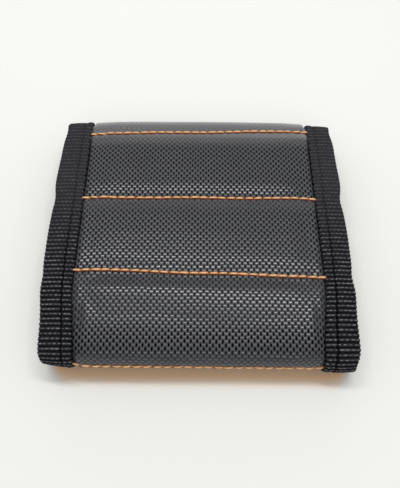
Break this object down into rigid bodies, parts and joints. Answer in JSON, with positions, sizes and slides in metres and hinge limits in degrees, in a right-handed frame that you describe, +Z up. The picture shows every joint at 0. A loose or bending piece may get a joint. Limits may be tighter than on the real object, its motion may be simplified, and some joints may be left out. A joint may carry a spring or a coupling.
{
  "type": "magnetic wristband",
  "caption": "Folded magnetic tool wristband: stitched woven pockets with magnets, bound webbing edges, hook and loop closure underneath and folds that let it unroll flat.",
  "frame": {"origin": "on the table, under the middle of the folded band", "axes": "+Z up off the table, +X along the width of the band and the wrist, +Y from the front fold to the back fold"},
  "size_m": [0.09, 0.0888, 0.0144],
  "materials": {
    "shell_cloth": "coarse plain-woven ballistic cloth",
    "lining_mesh": "knitted spacer mesh",
    "webbing": "ribbed webbing tape",
    "thread": "bonded sewing thread",
    "foam": "soft foam sheet",
    "magnet": "nickel plated bar",
    "hook_tape": "moulded hooks on tape",
    "loop_tape": "napped loop tape"
  },
  "bodies": {
    "outer_flap": {"outer_flap_shell": "shell_cloth", "outer_flap_lining": "lining_mesh", "outer_flap_binding_left": "webbing", "outer_flap_binding_right": "webbing", "outer_flap_end_binding": "webbing", "tail_stiffener": "foam", "hook_patch": "hook_tape", "flap_pocket_foam": "foam", "flap_pocket_magnet_left": "magnet", "flap_pocket_magnet_centre": "magnet", "flap_pocket_magnet_right": "magnet", "tail_stitch": "thread", "flap_stitch": "thread"},
    "front_fold": {"front_fold_shell": "shell_cloth", "front_fold_lining": "lining_mesh", "front_fold_binding_left": "webbing", "front_fold_binding_right": "webbing", "front_stitch": "thread"},
    "top": {"top_shell": "shell_cloth", "top_lining": "lining_mesh", "top_binding_left": "webbing", "top_binding_right": "webbing", "front_pocket_foam": "foam", "front_pocket_magnet_left": "magnet", "front_pocket_magnet_centre": "magnet", "front_pocket_magnet_right": "magnet", "front_pocket_stitch": "thread", "middle_pocket_foam": "foam", "middle_pocket_magnet_left": "magnet", "middle_pocket_magnet_centre": "magnet", "middle_pocket_magnet_right": "magnet", "middle_pocket_stitch": "thread", "back_pocket_foam": "foam", "back_pocket_magnet_left": "magnet", "back_pocket_magnet_centre": "magnet", "back_pocket_magnet_right": "magnet", "back_pocket_stitch": "thread"},
    "back_fold": {"back_fold_shell": "shell_cloth", "back_fold_lining": "lining_mesh", "back_fold_binding_left": "webbing", "back_fold_binding_right": "webbing"},
    "inner_flap": {"inner_flap_shell": "shell_cloth", "inner_flap_lining": "lining_mesh", "inner_flap_binding_left": "webbing", "inner_flap_binding_right": "webbing", "inner_flap_end_binding": "webbing", "inner_flap_foam": "foam", "loop_patch": "loop_tape"}
  },
  "joints": [
    {"name": "front_fold_lower", "type": "hinge", "parent": "outer_flap", "child": "front_fold", "pos_m": [0, -0.04256, 0.00184], "axis": [1, 0, 0], "range_deg": [0, 87]},
    {"name": "front_fold_upper", "type": "hinge", "parent": "front_fold", "child": "top", "pos_m": [0, -0.04256, 0.01071], "axis": [1, 0, 0], "range_deg": [0, 87]},
    {"name": "back_fold_upper", "type": "hinge", "parent": "top", "child": "back_fold", "pos_m": [0, 0.04234, 0.01235], "axis": [1, 0, 0], "range_deg": [0, 87]},
    {"name": "back_fold_lower", "type": "hinge", "parent": "back_fold", "child": "inner_flap", "pos_m": [0, 0.04234, 0.00485], "axis": [1, 0, 0], "range_deg": [0, 87]}
  ],
  "couplings": [
    {"joint": "front_fold_upper", "follows": "front_fold_lower", "ratio": 1},
    {"joint": "back_fold_upper", "follows": "front_fold_lower", "ratio": 1},
    {"joint": "back_fold_lower", "follows": "front_fold_lower", "ratio": 1}
  ]
}
